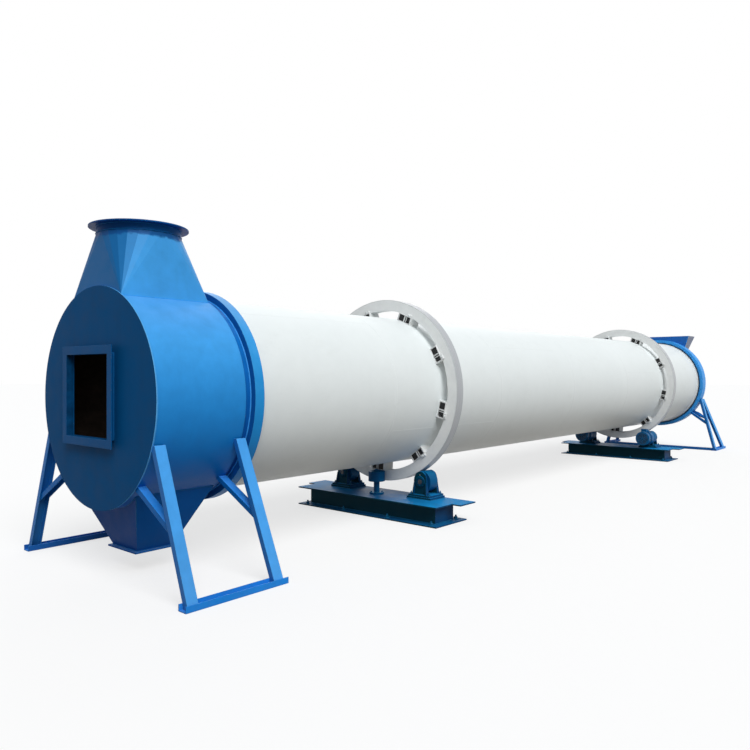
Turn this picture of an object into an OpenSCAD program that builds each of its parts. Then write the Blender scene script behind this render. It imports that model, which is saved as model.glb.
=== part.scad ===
// Rotary drum dryer on roller stations, with a discharge hood, a feed hood and a friction drive.
// +X runs along the drum from the discharge end to the feed end, +Z is up, and Z = 0 is the floor.
// The origin is in the middle of the footprint, on the floor.

/* [Drum] */
// Outer diameter of the drum
drum_d = 1500; // [1460:5:1520]
// Thickness of the drum plate
drum_wall = 10; // [8:1:16]
// Length of the drum
drum_len = 10990; // [9600:10:11600]
// Height of the drum axis over the floor
axis_h = 1255; // [1240:5:1400]

/* [Discharge hood] */
// Depth of the hood, from the front plate to the neck
hood_len = 712; // [640:2:860]
// Outer diameter of the hood
hood_d = 1560; // [1556:2:1620]
// Thickness of the hood plate
hood_wall = 6; // [5:1:10]
// Side of the square gas opening
opening_side = 582; // [440:2:620]
// How far the gas opening sits off the middle
opening_off = 32; // [0:1:110]
// Inner radius of the exhaust outlet
exhaust_bore_r = 293; // [240:1:320]
// Height of the exhaust flange over the drum axis
exhaust_h = 1240; // [1100:5:1400]
// Length of the discharge outlet, along the drum
outlet_len = 285; // [220:1:320]
// Width of the discharge outlet, across the drum
outlet_w = 320; // [280:2:500]

/* [Tyres and rollers] */
// Outer diameter of the tyres
tyre_d = 1876; // [1860:2:1920]
// Radial thickness of the tyres
tyre_t = 110; // [90:1:120]
// Width of the tyres
tyre_w = 105; // [90:1:130]
// Distance from the hood front to the first tyre
tyre_1_x = 3168; // [2800:1:3600]
// Distance from the second tyre to the drum's feed end
tyre_2_in = 2102; // [1900:1:2600]
// Number of pads that carry each tyre
pads = 9; // [8:1:10]
// Diameter of the support rollers
roller_d = 206; // [190:2:230]
// Angle of the rollers from straight down
roller_angle = 30.5; // [28:0.5:34]

/* [Roller stations] */
// Width of a station along the drum
station_w = 512; // [480:2:560]
// Length of a station across the drum
station_len = 1850; // [1760:5:1950]

/* [Feed hood] */
// Depth of the feed hood
feed_len = 185; // [160:1:240]
// Outer diameter of the feed hood
feed_d = 1658; // [1640:2:1700]
// Width of the feed chute at its rim
chute_w = 1040; // [860:5:1120]
// Height of the chute rim over the drum axis
chute_h = 905; // [860:5:1000]

/* [Stands] */
// Width of the channel that the legs are made of
channel_w = 80; // [70:1:100]
// Depth of that channel
channel_h = 43; // [38:1:50]
// Half the distance between the discharge hood's feet, across the drum
foot_y = 1120; // [1060:5:1160]
// Half the distance between the feed hood's feet, across the drum
feed_foot_y = 1050; // [1020:5:1120]

/* [Hidden] */
$fn = 96;
EPS = 0.01;

FAR = 15000;          // past the machine, whichever way

function hundredth(v) = round(v * 100) / 100;

run_gap = 0.3;        // between a tyre and the rollers that carry it
pin_gap = 0.1;        // radial clearance of a shaft in its bore

// along the drum, measured from the face of the hood's front plate
frame_depth = 50;
foot_out = 25;        // what a foot beam sticks out past its legs
plate_t = 8;
leg_x = [plate_t + channel_w / 2, hood_len - 22];
foot_x = [leg_x[0], leg_x[1] + 40];
drum_x = hood_len - 102;
drum_end = drum_x + drum_len;
feed_x = drum_end - feed_len + 25;
feed_back = feed_x + feed_len;
tyre_2_x = drum_end - tyre_2_in;
feed_leg_front_x = feed_x + 60;
feed_leg_back_top_x = feed_back - 35;
feed_foot_back_x = feed_back + 400;
x_min = -frame_depth;
x_max = feed_foot_back_x + channel_w / 2 + foot_out;
x_mid = (x_min + x_max) / 2;

drum_r = drum_d / 2;
hood_r = hood_d / 2;
plate_r = hood_r + 8;
frame_rim = 60;
frame_wall = 5;
opening_lift = 15;    // the gas opening's middle over the drum axis
lip = 8;              // what a hole in the hood is smaller than the box that stands on it
neck_wall = 6;
neck_r = drum_r + 15;
neck_len = 55;
seal_len = 82;
seal_plate = 10;
seal_r = neck_r + 53;
seal_bore = drum_r + 7;
seal_x = hood_len + neck_len;

tyre_r = tyre_d / 2;
tyre_bore = tyre_r - tyre_t;
pad_w = 170;
pad_len = tyre_w + 40;
pad_start = 23;       // angle of the first pad from the top, towards -Y
pad_side = 12;        // wall between a pad's windows and beside them
pad_skin = 6;         // plate over and under the windows

roller_r = roller_d / 2;
roller_w = tyre_w + 15;
hub_r = 50;
hub_out = 5;          // what a roller's hub stands out on each side
roller_reach = tyre_r + run_gap + roller_r;
roller_y = roller_reach * sin(roller_angle);
roller_z = -roller_reach * cos(roller_angle);
shaft_r = 30;
motor_r = 112;        // radius of the gear cases and the motors' cowls

plate = 12;           // thickness of a station's flanges
roller_clear = 14;    // from a roller, and the gear case beside it, down to the foot plate
pad_plate_t = 20;
foot_plate_t = 20;
stand_foot_z = hundredth(roller_z - max(roller_r, motor_r) - roller_clear);
station_top = stand_foot_z - foot_plate_t - pad_plate_t;
station_1_x = tyre_1_x - 120;
station_2_x = tyre_2_x - 60;
deck_extra = 100;     // what the rear half of a deck is longer at each end
girder_w = station_w - 216;
girder_len = station_len - 170;
girder_wall = 10;
stand_t = 20;
stand_gap = 10;
stand_x = roller_w / 2 + stand_gap;
stand_half_w = 90;    // half the width of an upright at its foot
stand_top_r = 72;     // radius of its round top
stand_top_z = 30;     // height of that radius's centre over the shaft
foot_plate_out = [26, 42];   // foot plate past the uprights, along and across the drum
pad_plate_out = [32, 56];    // plate under it, past the uprights
gusset = [22, 14];    // what a gusset stands out at its foot, and its thickness
gusset_top = 8;       // what it stands out at its top
gusset_in = 2;        // how far it lies inside the upright's edge
gusset_h = 120;
low_gusset_h = 34;    // height of the gussets under a gear case
shaft_out = 8;        // shaft end past the upright
drive_shaft_out = 70; // shaft end inside the gear case

thrust_r = 85;
thrust_w = 100;
thrust_pin_r = 25;
thrust_boss_r = 30;
thrust_base = [75, 15];      // radius and height of the pin's base plate
thrust_cap = [36, 11];       // radius and height of the pin's cap
thrust_x = tyre_1_x - tyre_w / 2 - run_gap - thrust_r;
thrust_z = -(tyre_bore + 7 + thrust_w / 2);

motor_waist = 14;     // what the motor is smaller in radius than its case and cowl
motor_len = 260;
case_len = 110;
cowl_len = 55;
motor_bore = 85;      // depth of the bore for the roller's shaft

flange_t = 10;
flange_w = 54;
trans_x = [plate_t, hood_len - 7];
trans_half_w = 341;
trans_base_z = sqrt(hood_r * hood_r - trans_half_w * trans_half_w) + 4;
trans_skirt = 60;     // how deep the base reaches down before the shell cuts it off
neck_pipe_h = 49;
exhaust_x = hood_len / 2 - 14;
outlet_x = hood_len / 2 + 20;
exhaust_pipe_z = exhaust_h - neck_pipe_h - flange_t;
hopper_top_z = -600;
hopper_top_x = [48, hood_len - 4];
hopper_half_w = 460;
outlet_z = -axis_h + 149;
outlet_flange_w = 33;
outlet_flange_t = 12;

web = 5;              // web and flange thickness of the channels
leg_top_z = -285;
feed_leg_top_z = -300;
leg_clear = 25;       // web of a leg's top to the shell
leg_rest_z = -axis_h + web;
beam_in = channel_h / 2 + 4; // from a leg's web in to the middle of its foot beam
brace_w = 60;
brace_h = 38;
// a brace from under a hood to a leg, [across, up] from the drum axis
hood_brace = [[500, -550], [990, -830]];
feed_brace = [[580, -520], [990, -805]];
back_brace_z = -690;  // where the back leg's brace meets it
feed_r = feed_d / 2;
feed_wall = 6;
feed_bore = drum_r + 22;
chute_x = [feed_back, feed_back + 375];
chute_low = [150, 640];   // bottom and top of the chute's mouth over the drum axis
chute_mouth_half_w = 280;
chute_wall = 6;

hood_blue = [0.18, 0.50, 0.82];
base_blue = [0.05, 0.36, 0.56];
drum_white = [0.90, 0.92, 0.91];

// every part is drawn with X = 0 on the hood's front plate and the drum axis on Z = 0
module placed() {
    translate([-x_mid, 0, axis_h]) children();
}

// a round bar, ring or disc along the drum, from x1 to x2
module ring_x(x1, x2, r, bore = 0) {
    translate([x1, 0, 0]) rotate([0, 90, 0]) difference() {
        cylinder(h = x2 - x1, r = r);
        if (bore > 0) translate([0, 0, -1]) cylinder(h = x2 - x1 + 2, r = bore);
    }
}

module both_sides() {
    children();
    mirror([0, 1, 0]) children();
}

// a box between two opposite corners
module block(a, b) {
    translate(a) cube(b - a);
}

// section of a channel, with its web on Y = 0 and its flanges towards -Y
module channel_section(w, h) difference() {
    translate([-w / 2, -h]) square([w, h]);
    translate([-w / 2 + web, -h - 1]) square([w - 2 * web, h - web + 1]);
}

// the frame of a bar that starts at p and runs down to q: +Z along it, +Y outward, +X to the front
module along(p, q) {
    d = q - p;
    translate(p) rotate([0, 180 - atan2(d.x, -d.z), 0])
        rotate([-atan2(d.y, norm([d.x, d.z])), 0, 0]) children();
}

module channel_bar(p, q, w, h) along(p, q) linear_extrude(norm(q - p)) channel_section(w, h);

// ---- discharge hood ----

module hood_front_plate() color(hood_blue) placed() difference() {
    ring_x(0, plate_t, plate_r);
    translate([-1, opening_off - opening_side / 2, opening_lift - opening_side / 2])
        cube([plate_t + 2, opening_side, opening_side]);
}

module gas_opening_frame() color(hood_blue) placed() {
    half = opening_side / 2;
    rim = half + frame_rim;
    tube = half + frame_wall;
    translate([0, opening_off, opening_lift]) difference() {
        union() {
            block([-frame_depth, -rim, -rim], [-frame_depth + hood_wall, rim, rim]);
            block([-frame_depth, -tube, -tube], [0, tube, tube]);
        }
        block([-frame_depth - 1, -half, -half], [1, half, half]);
    }
}

module hood_shell() color(hood_blue) placed() difference() {
    ring_x(plate_t, hood_len, hood_r, hood_r - hood_wall);
    inner = hood_wall + lip;
    block([trans_x[0] + inner, -trans_half_w + inner, 0],
          [trans_x[1] - inner, trans_half_w - inner, hood_r + 1]);
    hopper_solid(inner);
}

module hood_neck() color(hood_blue) placed() union() {
    ring_x(hood_len, hood_len + hood_wall, hood_r, neck_r - neck_wall);
    ring_x(hood_len, seal_x, neck_r, neck_r - neck_wall);
}

// a ring open to the drum: two side plates and the rim that joins them
module discharge_seal_ring() color(hood_blue) placed() difference() {
    ring_x(seal_x, seal_x + seal_len, seal_r, seal_bore);
    ring_x(seal_x + seal_plate, seal_x + seal_len - seal_plate, seal_r - seal_plate);
}

// square to round, from the hood's shell up to the exhaust pipe; inset is taken off all round
module transition_solid(inset) hull() {
    block([trans_x[0] + inset, -trans_half_w + inset, trans_base_z - trans_skirt],
          [trans_x[1] - inset, trans_half_w - inset, trans_base_z]);
    translate([exhaust_x, 0, exhaust_pipe_z - EPS])
        cylinder(h = EPS, r = exhaust_bore_r + hood_wall - inset, $fn = 24);
}

module exhaust_transition() color(hood_blue) placed() difference() {
    transition_solid(0);
    translate([0, 0, EPS]) transition_solid(hood_wall);
    ring_x(-1, hood_len + 1, hood_r);
}

module exhaust_flange() color(hood_blue) placed() translate([exhaust_x, 0, exhaust_pipe_z]) difference() {
    union() {
        cylinder(h = neck_pipe_h + flange_t, r = exhaust_bore_r + hood_wall);
        translate([0, 0, neck_pipe_h]) cylinder(h = flange_t, r = exhaust_bore_r + hood_wall + flange_w);
    }
    translate([0, 0, -1]) cylinder(h = neck_pipe_h + flange_t + 2, r = exhaust_bore_r);
}

// the hopper, filled solid, from inside the shell down to its flange; inset is taken off all round
module hopper_solid(inset) hull() {
    block([hopper_top_x[0] + inset, -hopper_half_w + inset, hopper_top_z],
          [hopper_top_x[1] - inset, hopper_half_w - inset, hopper_top_z + EPS]);
    spread = [outlet_len / 2 + hood_wall - inset, outlet_w / 2 + hood_wall - inset];
    foot = outlet_z + outlet_flange_t - (inset > 0 ? EPS : 0);
    block([outlet_x - spread[0], -spread[1], foot], [outlet_x + spread[0], spread[1], foot + EPS]);
}

module discharge_hopper() color(hood_blue) placed() difference() {
    hopper_solid(0);
    hopper_solid(hood_wall);
    ring_x(-1, hood_len + 1, hood_r);
}

module outlet_flange() color(hood_blue) placed() translate([outlet_x, 0, outlet_z]) difference() {
    half = [outlet_len / 2, outlet_w / 2];
    rim = half + [outlet_flange_w, outlet_flange_w];
    block([-rim[0], -rim[1], 0], [rim[0], rim[1], outlet_flange_t]);
    block([-half[0], -half[1], -1], [half[0], half[1], outlet_flange_t + 1]);
}

// ---- stands of the two hoods ----

// one leg from the hood's side down to the foot beam, on the +Y side
module leg(top, foot, shell_r) difference() {
    spare = (foot - top) * 0.1;
    channel_bar(top - spare, foot + spare, channel_w, channel_h);
    ring_x(-FAR, FAR, shell_r);
    block([-FAR, -FAR, top.z], [FAR, FAR, FAR]);
    block([-FAR, -FAR, -FAR], [FAR, FAR, leg_rest_z]);
}

// one brace in line with a leg, from under the shell into the leg's open side
module brace(line, shell_r, top, foot) difference() {
    end_x = top.x + (foot.x - top.x) * (top.z - line[1][1]) / (top.z - foot.z);
    channel_bar([top.x, line[0][0], line[0][1]], [end_x, line[1][0], line[1][1]], brace_w, brace_h);
    ring_x(-FAR, FAR, shell_r);
    along(top, foot) block([-FAR, -web, -FAR], [FAR, FAR, FAR]);
}

function top_at(x, shell_r, z) = [x, sqrt(shell_r * shell_r - z * z) + leg_clear, z];
function top_of(x) = top_at(x, hood_r, leg_top_z);
function foot_of(x) = [x, foot_y, leg_rest_z];
function feed_top_of(x) = top_at(x, feed_r, feed_leg_top_z);
function feed_foot_of(x) = [x, feed_foot_y, leg_rest_z];

module hood_legs() color(hood_blue) placed() both_sides()
    for (i = [0, 1]) leg(top_of(leg_x[i]), foot_of(foot_x[i]), hood_r);

module hood_braces() color(hood_blue) placed() both_sides()
    for (i = [0, 1]) brace(hood_brace, hood_r, top_of(leg_x[i]), foot_of(foot_x[i]));

// a foot beam is a channel on its back, with its flanges up; y is the web of the legs on it
module foot_beam(x1, x2, y) translate([x1, y - beam_in, -axis_h]) rotate([90, 0, 90])
    linear_extrude(x2 - x1) mirror([0, 1, 0]) channel_section(channel_w, channel_h);

module hood_foot_beams() color(hood_blue) placed() both_sides()
    foot_beam(foot_x[0] - channel_w / 2 - foot_out, foot_x[1] + channel_w / 2 + foot_out, foot_y);

// ---- drum ----

module drum_shell() color(drum_white) placed()
    ring_x(drum_x, drum_end, drum_r, drum_r - drum_wall);

module tyre(x) color(drum_white) placed()
    ring_x(x - tyre_w / 2, x + tyre_w / 2, tyre_r, tyre_bore);

module tyre_pads(x) color(drum_white) placed() intersection() {
    ring_x(x - pad_len / 2, x + pad_len / 2, tyre_bore, drum_r);
    for (i = [0 : pads - 1]) rotate([pad_start + i * 360 / pads, 0, 0])
        difference() {
            block([x - pad_len, -pad_w / 2, 0], [x + pad_len, pad_w / 2, tyre_r]);
            both_sides() block([x - FAR, pad_side / 2, drum_r + pad_skin],
                               [x + FAR, pad_w / 2 - pad_side, tyre_bore - pad_skin]);
        }
}

module discharge_tyre() tyre(tyre_1_x);
module feed_tyre() tyre(tyre_2_x);
module discharge_tyre_pads() tyre_pads(tyre_1_x);
module feed_tyre_pads() tyre_pads(tyre_2_x);

// ---- roller stations ----

module station_sole(x) color(base_blue) placed()
    block([x - station_w / 2, -station_len / 2, -axis_h],
          [x + station_w / 2, station_len / 2, -axis_h + plate]);

module station_girder(x) color(base_blue) placed() difference() {
    block([x - girder_w / 2, -girder_len / 2, -axis_h + plate],
          [x + girder_w / 2, girder_len / 2, station_top - plate]);
    block([x - girder_w / 2 + girder_wall, -girder_len / 2 + girder_wall, -axis_h + plate - 1],
          [x + girder_w / 2 - girder_wall, girder_len / 2 - girder_wall, station_top - plate + 1]);
}

// the deck's half towards the feed end is longer than the other
module station_deck(x) color(base_blue) placed() union() {
    block([x - station_w / 2, -station_len / 2, station_top - plate], [x, station_len / 2, station_top]);
    block([x, -station_len / 2 - deck_extra, station_top - plate],
          [x + station_w / 2, station_len / 2 + deck_extra, station_top]);
}

// half the width of an upright at the height z over its foot plate
function stand_edge(z) = stand_half_w - (stand_half_w - stand_top_r) * z
    / (roller_z + stand_top_z - stand_foot_z);

// one upright from x1 on, with the bore for the shaft about the origin
module upright(x1) difference() {
    low = station_top - roller_z;
    foot = stand_foot_z - roller_z;
    union() {
        translate([x1, 0, 0]) rotate([90, 0, 90]) linear_extrude(stand_t) polygon([
            [-stand_half_w, low], [stand_half_w, low], [stand_half_w, foot],
            [stand_top_r, stand_top_z], [-stand_top_r, stand_top_z], [-stand_half_w, foot]]);
        translate([0, 0, stand_top_z]) ring_x(x1, x1 + stand_t, stand_top_r);
    }
    ring_x(x1 - 1, x1 + stand_t + 1, shaft_r + pin_gap);
}

// a gusset of the height h that follows the edge of the upright on the +X side
module gusset_plate(h) {
    reach = stand_x + stand_t;
    low = -foot_plate_t;
    outer = stand_half_w - gusset_in;
    outer_h = stand_edge(h) - gusset_in;
    intersection() {
        translate([0, stand_half_w, 0]) rotate([90, 0, 0]) linear_extrude(stand_half_w) polygon([
            [reach - stand_t / 2, low], [reach + gusset[0], low], [reach + gusset[0], 0],
            [reach + gusset_top, h], [reach - stand_t / 2, h]]);
        rotate([90, 0, 90]) linear_extrude(2 * reach) polygon([
            [outer - gusset[1], low], [outer, low], [outer, 0], [outer_h, h],
            [outer_h - gusset[1], h], [outer - gusset[1], 0]]);
    }
}

// the two uprights and feet that carry the roller on the +Y side; front_h is for the front gussets
module stand(x, front_h) translate([x, roller_y, 0]) {
    half = [stand_x + stand_t, stand_half_w];
    under = half + pad_plate_out;
    foot = half + foot_plate_out;
    block([-under[0], -under[1], station_top], [under[0], under[1], station_top + pad_plate_t]);
    block([-foot[0], -foot[1], station_top], [foot[0], foot[1], stand_foot_z]);
    for (x1 = [stand_x, -half[0]]) translate([0, 0, roller_z]) upright(x1);
    translate([0, 0, stand_foot_z]) both_sides() {
        gusset_plate(gusset_h);
        mirror([1, 0, 0]) gusset_plate(front_h);
    }
}

module station_stands(x, front_h) color(base_blue) placed() both_sides() stand(x, front_h);

module discharge_station_sole() station_sole(station_1_x);
module discharge_station_girder() station_girder(station_1_x);
module discharge_station_deck() station_deck(station_1_x);
module discharge_station_stands() station_stands(tyre_1_x, gusset_h);
module feed_station_sole() station_sole(station_2_x);
module feed_station_girder() station_girder(station_2_x);
module feed_station_deck() station_deck(station_2_x);
module feed_station_stands() station_stands(tyre_2_x, low_gusset_h);

// a support roller with its shaft; side is -1 on the right (-Y) and 1 on the left
module roller(x, side, front_out) color(base_blue) placed()
    translate([x, side * roller_y, roller_z]) union() {
        ring_x(-roller_w / 2, roller_w / 2, roller_r);
        ring_x(-roller_w / 2 - hub_out, roller_w / 2 + hub_out, hub_r);
        ring_x(-stand_x - stand_t - front_out, stand_x + stand_t + shaft_out, shaft_r);
    }

module discharge_roller_right() roller(tyre_1_x, -1, shaft_out);
module discharge_roller_left() roller(tyre_1_x, 1, shaft_out);
module feed_roller_right() roller(tyre_2_x, -1, drive_shaft_out);
module feed_roller_left() roller(tyre_2_x, 1, drive_shaft_out);

module thrust_roller() color(base_blue) placed() translate([thrust_x, 0, thrust_z - thrust_w / 2])
    difference() {
        cylinder(h = thrust_w, r = thrust_r);
        translate([0, 0, -1]) cylinder(h = thrust_w + 2, r = thrust_pin_r + pin_gap);
    }

// a stepped pin: base plate, boss under the roller, pin through it and the cap on top
module thrust_roller_pin() color(base_blue) placed() translate([thrust_x, 0, station_top]) union() {
    boss_h = thrust_z - thrust_w / 2 - 1 - station_top;
    cap_z = boss_h + thrust_w + 2;
    cylinder(h = thrust_base[1], r = thrust_base[0]);
    cylinder(h = boss_h, r = thrust_boss_r);
    cylinder(h = cap_z + thrust_cap[1], r = thrust_pin_r);
    translate([0, 0, cap_z]) cylinder(h = thrust_cap[1], r = thrust_cap[0]);
}

// gear case, motor and fan cowl in one line with the driven roller
module gearmotor(side) color(base_blue) placed()
    translate([tyre_2_x - stand_x - stand_t, side * roller_y, roller_z]) difference() {
        union() {
            ring_x(-case_len, 0, motor_r);
            ring_x(-motor_len, 0, motor_r - motor_waist);
            ring_x(-motor_len, -motor_len + cowl_len, motor_r);
        }
        ring_x(-motor_bore, 1, shaft_r + pin_gap);
    }

module gearmotor_right() gearmotor(-1);
module gearmotor_left() gearmotor(1);

// ---- feed hood ----

module feed_hood_face() color(hood_blue) placed()
    ring_x(feed_x, feed_x + feed_wall, feed_r, feed_bore);

module feed_hood_shell() color(hood_blue) placed()
    ring_x(feed_x + feed_wall, feed_back - feed_wall, feed_r, feed_r - feed_wall);

module feed_hood_end_plate() color(hood_blue) placed() difference() {
    ring_x(feed_back - feed_wall, feed_back, feed_r);
    block([feed_back - feed_wall - 1, -chute_mouth_half_w, chute_low[0]],
          [feed_back + 1, chute_mouth_half_w, chute_low[1]]);
}

// the chute, filled solid, from its mouth on the end plate up to its rim; inset is taken off all round
module chute_solid(inset) hull() {
    mouth = chute_mouth_half_w + chute_wall - inset;
    block([chute_x[0] + inset, -mouth, chute_low[0] - chute_wall + inset],
          [chute_x[0] + inset + 1, mouth, chute_low[1] + chute_wall - inset]);
    block([chute_x[0] + inset, -chute_w / 2 + inset, chute_h - 1],
          [chute_x[1] - inset, chute_w / 2 - inset, chute_h + (inset > 0 ? EPS : 0)]);
}

module feed_chute() color(hood_blue) placed() difference() {
    chute_solid(0);
    chute_solid(chute_wall);
    block([chute_x[0] - 1, -chute_mouth_half_w, chute_low[0]],
          [chute_x[0] + chute_wall + 1, chute_mouth_half_w, chute_low[1]]);
}

module feed_legs() color(hood_blue) placed() both_sides() {
    leg(feed_top_of(feed_leg_front_x), feed_foot_of(feed_leg_front_x), feed_r);
    leg(feed_top_of(feed_leg_back_top_x), feed_foot_of(feed_foot_back_x), feed_r);
}

// the back leg's brace starts under the shell and ends on the front face of the leg
module feed_back_brace() {
    top = feed_top_of(feed_leg_back_top_x);
    foot = feed_foot_of(feed_foot_back_x);
    share = (back_brace_z - top.z) / (foot.z - top.z);
    aim = top + (foot - top) * share - [0, channel_h / 2 - brace_h / 2, 0];
    start = [feed_back - brace_w, feed_brace[0][0], feed_brace[0][1]];
    difference() {
        channel_bar(start, aim, brace_w, brace_h);
        ring_x(-FAR, FAR, feed_r);
        along(top, foot) block([-FAR, -FAR, -FAR], [channel_w / 2, FAR, FAR]);
    }
}

module feed_braces() color(hood_blue) placed() both_sides() {
    brace(feed_brace, feed_r, feed_top_of(feed_leg_front_x), feed_foot_of(feed_leg_front_x));
    feed_back_brace();
}

module feed_foot_beams() color(hood_blue) placed() both_sides()
    foot_beam(feed_leg_front_x - channel_w / 2 - foot_out, feed_foot_back_x + channel_w / 2 + foot_out,
              feed_foot_y);

// the beam on the floor between the two front feet
module feed_cross_beam() color(hood_blue) placed() {
    reach = feed_foot_y - beam_in - channel_w / 2;
    translate([feed_leg_front_x, reach, -axis_h]) rotate([90, 0, 0])
        linear_extrude(2 * reach) mirror([0, 1, 0]) channel_section(channel_w, channel_h);
}

hood_front_plate();
gas_opening_frame();
hood_shell();
hood_neck();
discharge_seal_ring();
exhaust_transition();
exhaust_flange();
discharge_hopper();
outlet_flange();
hood_legs();
hood_braces();
hood_foot_beams();
drum_shell();
discharge_tyre();
feed_tyre();
discharge_tyre_pads();
feed_tyre_pads();
discharge_station_sole();
discharge_station_girder();
discharge_station_deck();
discharge_station_stands();
feed_station_sole();
feed_station_girder();
feed_station_deck();
feed_station_stands();
discharge_roller_right();
discharge_roller_left();
feed_roller_right();
feed_roller_left();
thrust_roller();
thrust_roller_pin();
gearmotor_right();
gearmotor_left();
feed_hood_shell();
feed_hood_face();
feed_hood_end_plate();
feed_chute();
feed_legs();
feed_braces();
feed_foot_beams();
feed_cross_beam();
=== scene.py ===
"""The rotary drum dryer's looks: paint, fittings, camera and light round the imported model."""
import math
import random

import bpy
import numpy as np
from mathutils import Matrix, Vector


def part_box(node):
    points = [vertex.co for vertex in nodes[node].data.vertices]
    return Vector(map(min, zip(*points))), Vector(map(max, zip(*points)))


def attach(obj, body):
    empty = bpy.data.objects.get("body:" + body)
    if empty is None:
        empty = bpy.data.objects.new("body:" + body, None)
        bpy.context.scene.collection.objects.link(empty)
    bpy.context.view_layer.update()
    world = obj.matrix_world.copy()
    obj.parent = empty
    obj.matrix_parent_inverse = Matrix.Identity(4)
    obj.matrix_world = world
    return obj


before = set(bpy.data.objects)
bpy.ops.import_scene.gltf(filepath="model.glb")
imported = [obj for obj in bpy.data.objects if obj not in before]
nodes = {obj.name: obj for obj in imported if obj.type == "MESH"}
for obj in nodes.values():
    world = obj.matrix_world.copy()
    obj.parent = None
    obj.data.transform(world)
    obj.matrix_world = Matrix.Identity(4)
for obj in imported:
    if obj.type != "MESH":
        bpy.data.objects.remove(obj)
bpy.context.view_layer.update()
scene = bpy.context.scene
scene.view_settings.view_transform = "Standard"
rng = random.Random(7)


# ---- places, all in metres in the frame of the CAD ----
def middle(box):
    return [(low + high) / 2 for low, high in zip(*box)]


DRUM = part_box("drum_shell")
AXIS_Z = (DRUM[0].z + DRUM[1].z) / 2
DRUM_R = (DRUM[1].z - DRUM[0].z) / 2
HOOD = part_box("hood_shell")
HOOD_R = HOOD[1].y
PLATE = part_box("hood_front_plate")
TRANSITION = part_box("exhaust_transition")
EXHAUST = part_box("exhaust_flange")
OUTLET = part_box("outlet_flange")
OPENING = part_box("gas_opening_frame")
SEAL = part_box("discharge_seal_ring")
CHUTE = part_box("feed_chute")
STATIONS = (("discharge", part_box("discharge_station_sole")),
            ("feed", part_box("feed_station_sole")))
EXHAUST_X = middle(EXHAUST)[0]
OUTLET_X = middle(OUTLET)[0]
CHUTE_X = middle(CHUTE)[0]
OPENING_Y, OPENING_Z = middle(OPENING)[1:]

# sizes that the boxes don't give
NECK_R = DRUM_R + 0.015
TYRE_HEIGHT = 0.110
EXHAUST_FLANGE_WIDTH = 0.054
OPENING_FLANGE_WIDTH = 0.055
FLANGE_THICKNESS = 0.012
HOPPER_TOP = (PLATE[0].x + 0.048, PLATE[0].x + 0.708, 0.460)   # front, back, half its width
HOPPER_TOP_Z = AXIS_Z - 0.600
HOPPER_FOOT = (OUTLET_X - 0.1485, OUTLET_X + 0.1485, 0.166)
PADS = 9
PAD_START = 23.0                                               # degrees round the drum
PAD_HALF = 0.085
PAD_WALL = 0.007
FOOT_HEIGHT = 0.040                                            # both plates under the uprights
UPRIGHT = (0.070, 0.090)                                       # its faces, from the tyre's middle


# ---- materials ----
class Nodes:
    """Short calls that add nodes to a material or a world and give their output sockets."""

    def __init__(self, owner):
        owner.use_nodes = True
        self.tree = owner.node_tree
        self.tree.nodes.clear()

    def put(self, kind, inputs=(), out=0, **settings):
        node = self.tree.nodes.new(kind)
        for key, value in settings.items():
            setattr(node, key, value)
        for key, value in dict(inputs).items():
            if isinstance(value, bpy.types.NodeSocket):
                self.tree.links.new(value, node.inputs[key])
            else:
                node.inputs[key].default_value = value
        return node.outputs[out]

    def place(self):
        """The point in the frame of the CAD."""
        return self.put("ShaderNodeTexCoord", out="Object")

    def facing(self):
        """The surface's normal in the frame of the CAD."""
        return self.put("ShaderNodeTexCoord", out="Normal")

    def split(self, vector):
        """The three parts of a vector."""
        return tuple(self.put("ShaderNodeSeparateXYZ", {0: vector}).node.outputs)

    def math(self, operation, a, b=0.0):
        return self.put("ShaderNodeMath", {0: a, 1: b}, operation=operation)

    def vector(self, operation, a, b=(0, 0, 0), out=0):
        return self.put("ShaderNodeVectorMath", {0: a, 1: b}, out=out, operation=operation)

    def dot(self, a, b):
        return self.vector("DOT_PRODUCT", a, b, out=1)

    def noise(self, at, scale, detail=3.0, rough=0.55, stretch=None):
        if stretch:
            at = self.vector("MULTIPLY", at, stretch)
        return self.put("ShaderNodeTexNoise", {"Vector": at, "Scale": scale, "Detail": detail,
                                               "Roughness": rough})

    def swing(self, noise, size):
        """A noise brought to swing about 0."""
        return self.math("MULTIPLY", self.math("SUBTRACT", noise, 0.5), size)

    def ramp(self, value, low, high, to_low=0.0, to_high=1.0):
        return self.put("ShaderNodeMapRange",
                        {"Value": value, 1: low, 2: high, 3: to_low, 4: to_high}, clamp=True)

    def mix(self, factor, a, b, blend="MIX"):
        return self.put("ShaderNodeMix", {0: factor, 6: a, 7: b}, out=2, data_type="RGBA",
                        blend_type=blend)

    def bump(self, height, strength, distance, normal=None):
        inputs = {"Strength": strength, "Distance": distance, "Height": height}
        if normal:
            inputs["Normal"] = normal
        return self.put("ShaderNodeBump", inputs)

    def shader(self, colour, rough, normal, metallic=0.0, specular=0.3):
        self.finish(self.put("ShaderNodeBsdfPrincipled", {
            "Base Color": colour, "Roughness": rough, "Metallic": metallic,
            "Specular IOR Level": specular, "Normal": normal}))

    def finish(self, surface, kind="ShaderNodeOutputMaterial"):
        node = self.tree.nodes.new(kind)
        self.tree.links.new(surface, node.inputs["Surface"])


def rgb(c, k=1.0):
    return (c[0] * k, c[1] * k, c[2] * k, 1.0)


def tinted(colour, tint):
    return rgb([c * t for c, t in zip(colour, tint)])


def new_material(name, slot_colour):
    material = bpy.data.materials.new(name)
    material.diffuse_color = rgb(slot_colour)
    return material


def from_axis(n, at):
    """The arm from the drum's axis to the point."""
    return n.vector("MULTIPLY", n.vector("SUBTRACT", at, (0, 0, AXIS_Z)), (0, 1, 1))


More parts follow.
